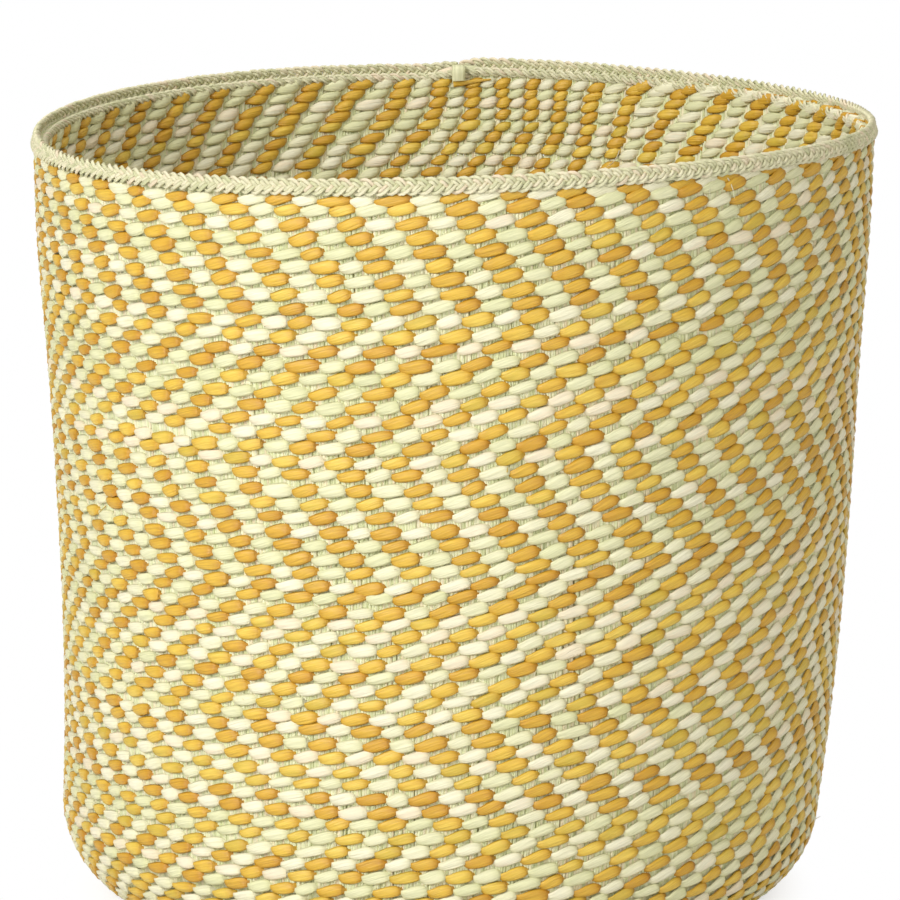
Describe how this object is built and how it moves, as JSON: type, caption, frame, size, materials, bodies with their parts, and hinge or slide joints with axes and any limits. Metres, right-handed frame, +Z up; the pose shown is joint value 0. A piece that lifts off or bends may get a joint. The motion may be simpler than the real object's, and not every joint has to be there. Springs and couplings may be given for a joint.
{
  "type": "reed basket",
  "caption": "Round open reed basket with a flat base, rounded bottom edge, slightly flared twined wall in gold and pale reed, and a plaited rim.",
  "frame": {"origin": "centre of the flat underside, where the basket rests", "axes": "+Z up out of the open mouth, -Y towards the front that the picture shows, +X to the right"},
  "size_m": [0.2986, 0.2998, 0.2841],
  "materials": {
    "gold_reed": "dyed flat reed, dry and fibrous, faint satin",
    "pale_reed": "natural flat reed, dry and fibrous, faint satin",
    "stake_reed": "natural greenish reed, dry, grooved lengthwise",
    "rim_reed": "natural reed plait, dry, grooved lengthwise"
  },
  "bodies": {
    "root": {"start_disc": "pale_reed", "base_weft_inner": "pale_reed", "base_weft_outer": "pale_reed", "turning_round": "pale_reed", "corner_weft": "gold_reed", "wall_weft_1": "gold_reed", "wall_weft_2": "pale_reed", "wall_weft_3": "gold_reed", "wall_weft_4": "pale_reed", "wall_weft_5": "gold_reed", "wall_weft_6": "pale_reed", "stake_bundle_01": "stake_reed", "stake_bundle_02": "stake_reed", "stake_bundle_03": "stake_reed", "stake_bundle_04": "stake_reed", "stake_bundle_05": "stake_reed", "stake_bundle_06": "stake_reed", "stake_bundle_07": "stake_reed", "stake_bundle_08": "stake_reed", "stake_bundle_09": "stake_reed", "stake_bundle_10": "stake_reed", "stake_bundle_11": "stake_reed", "stake_bundle_12": "stake_reed", "stake_bundle_13": "stake_reed", "stake_bundle_14": "stake_reed", "stake_bundle_15": "stake_reed", "stake_bundle_16": "stake_reed", "stake_bundle_17": "stake_reed", "stake_bundle_18": "stake_reed", "stake_bundle_19": "stake_reed", "stake_bundle_20": "stake_reed", "stake_bundle_21": "stake_reed", "stake_bundle_22": "stake_reed", "stake_bundle_23": "stake_reed", "stake_bundle_24": "stake_reed", "rim_plait": "rim_reed", "rim_cord": "rim_reed", "rim_tie": "pale_reed"}
  },
  "joints": []
}
